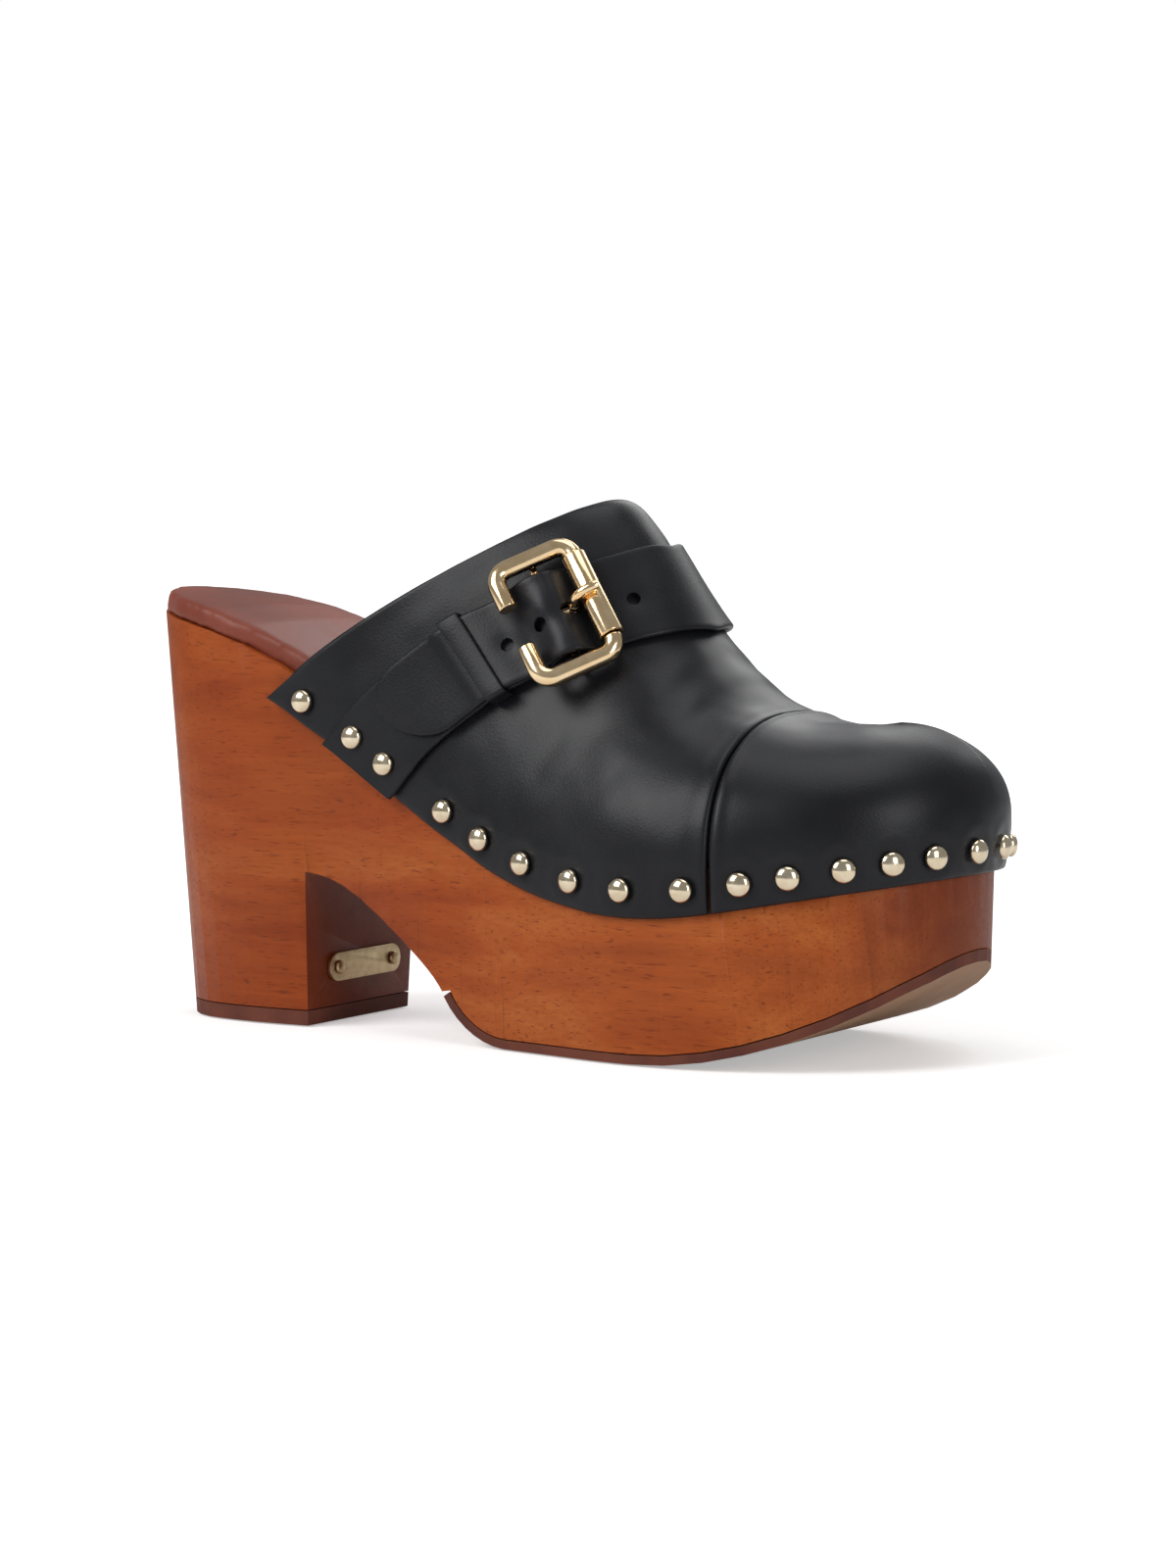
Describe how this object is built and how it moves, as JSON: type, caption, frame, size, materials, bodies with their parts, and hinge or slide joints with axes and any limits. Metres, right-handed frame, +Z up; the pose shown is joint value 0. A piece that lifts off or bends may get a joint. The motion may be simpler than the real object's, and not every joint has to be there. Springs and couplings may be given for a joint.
{
  "type": "wooden clog",
  "caption": "High-heeled leather clog on a one-piece wooden sole, with a studded upper, capped toe and a strap with a roller buckle.",
  "frame": {"origin": "on the ground under the middle of the shoe's bounding box", "axes": "+X towards the toe, +Y towards the inner (medial) side of this right shoe, +Z up"},
  "size_m": [0.2438, 0.1019, 0.1384],
  "materials": {
    "stained_wood": "orange-brown stain, satin lacquer",
    "sole_rubber": "matt dark brown",
    "foam": "open foam",
    "insole_leather": "smooth, slightly shiny tan",
    "upper_leather": "smooth black calf, semi-gloss",
    "stiffener": "matt",
    "lining_leather": "matt dark",
    "gold_plate": "polished pale gold plating",
    "plaque_brass": "satin brass",
    "stud_metal": "polished pale gold"
  },
  "bodies": {
    "shoe": {"wooden_sole": "stained_wood", "front_outsole": "sole_rubber", "heel_top_lift": "sole_rubber", "footbed_pad": "foam", "footbed_cover": "insole_leather", "vamp": "upper_leather", "toe_cap": "upper_leather", "toe_puff": "stiffener", "lining": "lining_leather", "strap_lower": "upper_leather", "strap_billet": "upper_leather", "heel_plaque": "plaque_brass", "plaque_screw_1": "plaque_brass", "plaque_screw_2": "plaque_brass", "stud_outer_01": "stud_metal", "stud_outer_02": "stud_metal", "stud_outer_03": "stud_metal", "stud_outer_04": "stud_metal", "stud_outer_05": "stud_metal", "stud_outer_06": "stud_metal", "stud_outer_07": "stud_metal", "stud_outer_08": "stud_metal", "stud_outer_09": "stud_metal", "stud_outer_10": "stud_metal", "stud_outer_11": "stud_metal", "stud_outer_12": "stud_metal", "stud_outer_13": "stud_metal", "stud_outer_14": "stud_metal", "stud_outer_15": "stud_metal", "stud_inner_01": "stud_metal", "stud_inner_02": "stud_metal", "stud_inner_03": "stud_metal", "stud_inner_04": "stud_metal", "stud_inner_05": "stud_metal", "stud_inner_06": "stud_metal", "stud_inner_07": "stud_metal", "stud_inner_08": "stud_metal", "stud_inner_09": "stud_metal", "stud_inner_10": "stud_metal", "stud_inner_11": "stud_metal", "stud_inner_12": "stud_metal", "stud_inner_13": "stud_metal", "stud_inner_14": "stud_metal", "stud_inner_15": "stud_metal"},
    "buckle": {"buckle_frame": "gold_plate"},
    "roller": {"buckle_roller": "gold_plate"},
    "prong": {"buckle_prong": "gold_plate"},
    "keeper": {"keeper_loop": "upper_leather"}
  },
  "joints": [
    {"name": "buckle_rock", "type": "hinge", "parent": "shoe", "child": "buckle", "pos_m": [0.01312, -0.02893, 0.10859], "axis": [-0.5652, 0.1899, 0.8028], "range_deg": [-4, 0.5]},
    {"name": "roller_spin", "type": "hinge", "parent": "buckle", "child": "roller", "pos_m": [0.02218, -0.0262, 0.11433], "axis": [-0.5652, 0.1899, 0.8028], "continuous": true},
    {"name": "prong_lift", "type": "hinge", "parent": "buckle", "child": "prong", "pos_m": [0.01312, -0.02893, 0.10859], "axis": [-0.5652, 0.1899, 0.8028], "range_deg": [-6, 1]},
    {"name": "keeper_slide", "type": "slide", "parent": "shoe", "child": "keeper", "axis": [0.8506, 0.164, 0.4996], "range_m": [-0.0012, 0.0015]}
  ]
}
